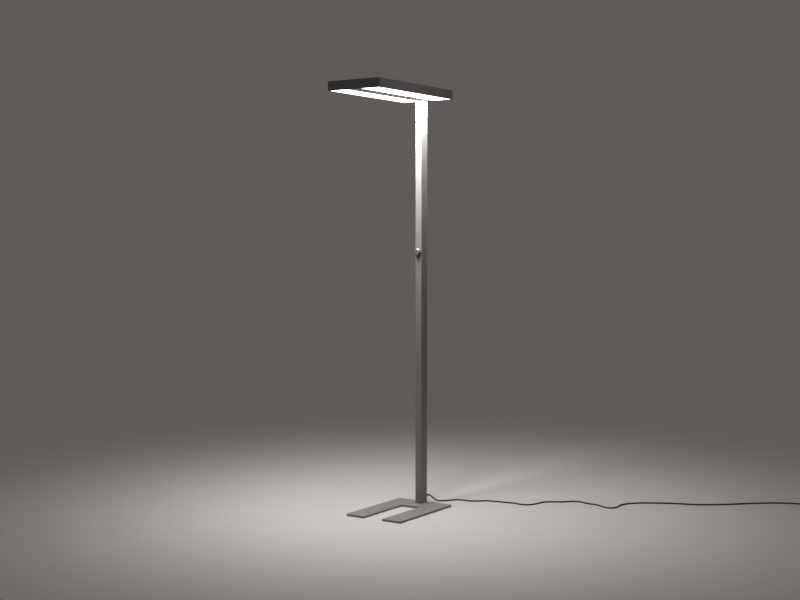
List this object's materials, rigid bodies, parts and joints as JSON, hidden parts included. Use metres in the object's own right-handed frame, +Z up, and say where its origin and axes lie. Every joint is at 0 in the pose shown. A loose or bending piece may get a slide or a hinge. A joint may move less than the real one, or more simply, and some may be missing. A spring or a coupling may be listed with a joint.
{
  "type": "office floor lamp",
  "caption": "Free-standing office floor lamp: flat rectangular light head with two long windows on a slim rectangular post, U-shaped base plate, dimmer knob, and mains cord.",
  "frame": {"origin": "on the floor under the axis of the post, at the face of the glide under the post", "axes": "+Z up along the post; -Y is the front, towards which the head and the prongs of the base reach; +X is to the right when looking along +Y"},
  "size_m": [1.803, 1.5482, 1.95],
  "materials": {
    "base_metal": "fine-textured grey metallic powder coat",
    "glide_felt": "matt black rubber",
    "steel": "bright zinc-plated",
    "dark_steel": "blackened",
    "block_aluminium": "milled",
    "post_aluminium": "satin anodised in grey",
    "knob_aluminium": "turned and satin anodised",
    "cord_rubber": "matt black",
    "board_plastic": "moulded",
    "brass": "nickel-plated",
    "white_plastic": "moulded",
    "head_metal": "dark grey fine-textured powder coat",
    "spine_metal": "light grey fine-textured powder coat",
    "diffuser": "opal satin acrylic",
    "clear_cover": "satin clear acrylic",
    "tray_white": "white reflective paint",
    "led_board": "white solder mask",
    "wire_plastic": "insulated wire",
    "tie_fabric": "woven hook-and-loop tape"
  },
  "bodies": {
    "lamp": {"base_plate": "base_metal", "base_glides": "glide_felt", "base_screws": "steel", "foot_block": "block_aluminium", "foot_cross_screws": "dark_steel", "post": "post_aluminium", "head_block": "block_aluminium", "head_cross_screws": "dark_steel", "strain_relief": "cord_rubber", "inner_cable": "cord_rubber", "encoder_case": "board_plastic", "encoder_nut": "brass", "control_lead": "cord_rubber", "front_rail": "head_metal", "back_rail": "head_metal", "left_rail": "head_metal", "right_rail": "head_metal", "corner_brackets": "steel", "corner_screws": "steel", "spine": "spine_metal", "spine_cover": "head_metal", "spine_brackets": "steel", "spine_screws": "steel", "mount_plate": "steel", "head_screws": "steel", "diffuser_left": "diffuser", "diffuser_right": "diffuser", "uplight_cover_left": "clear_cover", "uplight_cover_right": "clear_cover", "light_tray_left": "tray_white", "light_tray_right": "tray_white", "downlight_board_left": "led_board", "downlight_board_right": "led_board", "uplight_board_left": "led_board", "uplight_board_right": "led_board", "driver": "white_plastic", "driver_screws": "steel", "terminal_block": "white_plastic", "driver_wires": "wire_plastic", "led_leads": "wire_plastic", "cord": "cord_rubber", "cord_coil": "cord_rubber", "coil_tie": "tie_fabric", "cord_tail": "cord_rubber", "plug_body": "cord_rubber", "plug_pins": "brass"},
    "push_slider": {"switch_plunger": "white_plastic"},
    "dial": {"encoder_shaft": "steel", "control_knob": "knob_aluminium", "knob_screw": "dark_steel"}
  },
  "joints": [
    {"name": "knob_push", "type": "slide", "parent": "lamp", "child": "push_slider", "axis": [0, 1, 0], "range_m": [0, 0.0008], "stiffness_N_per_m": 3000, "springref_m": -0.0002},
    {"name": "knob_turn", "type": "hinge", "parent": "push_slider", "child": "dial", "pos_m": [0, -0.03, 1.2], "axis": [0, -1, 0], "continuous": true}
  ]
}
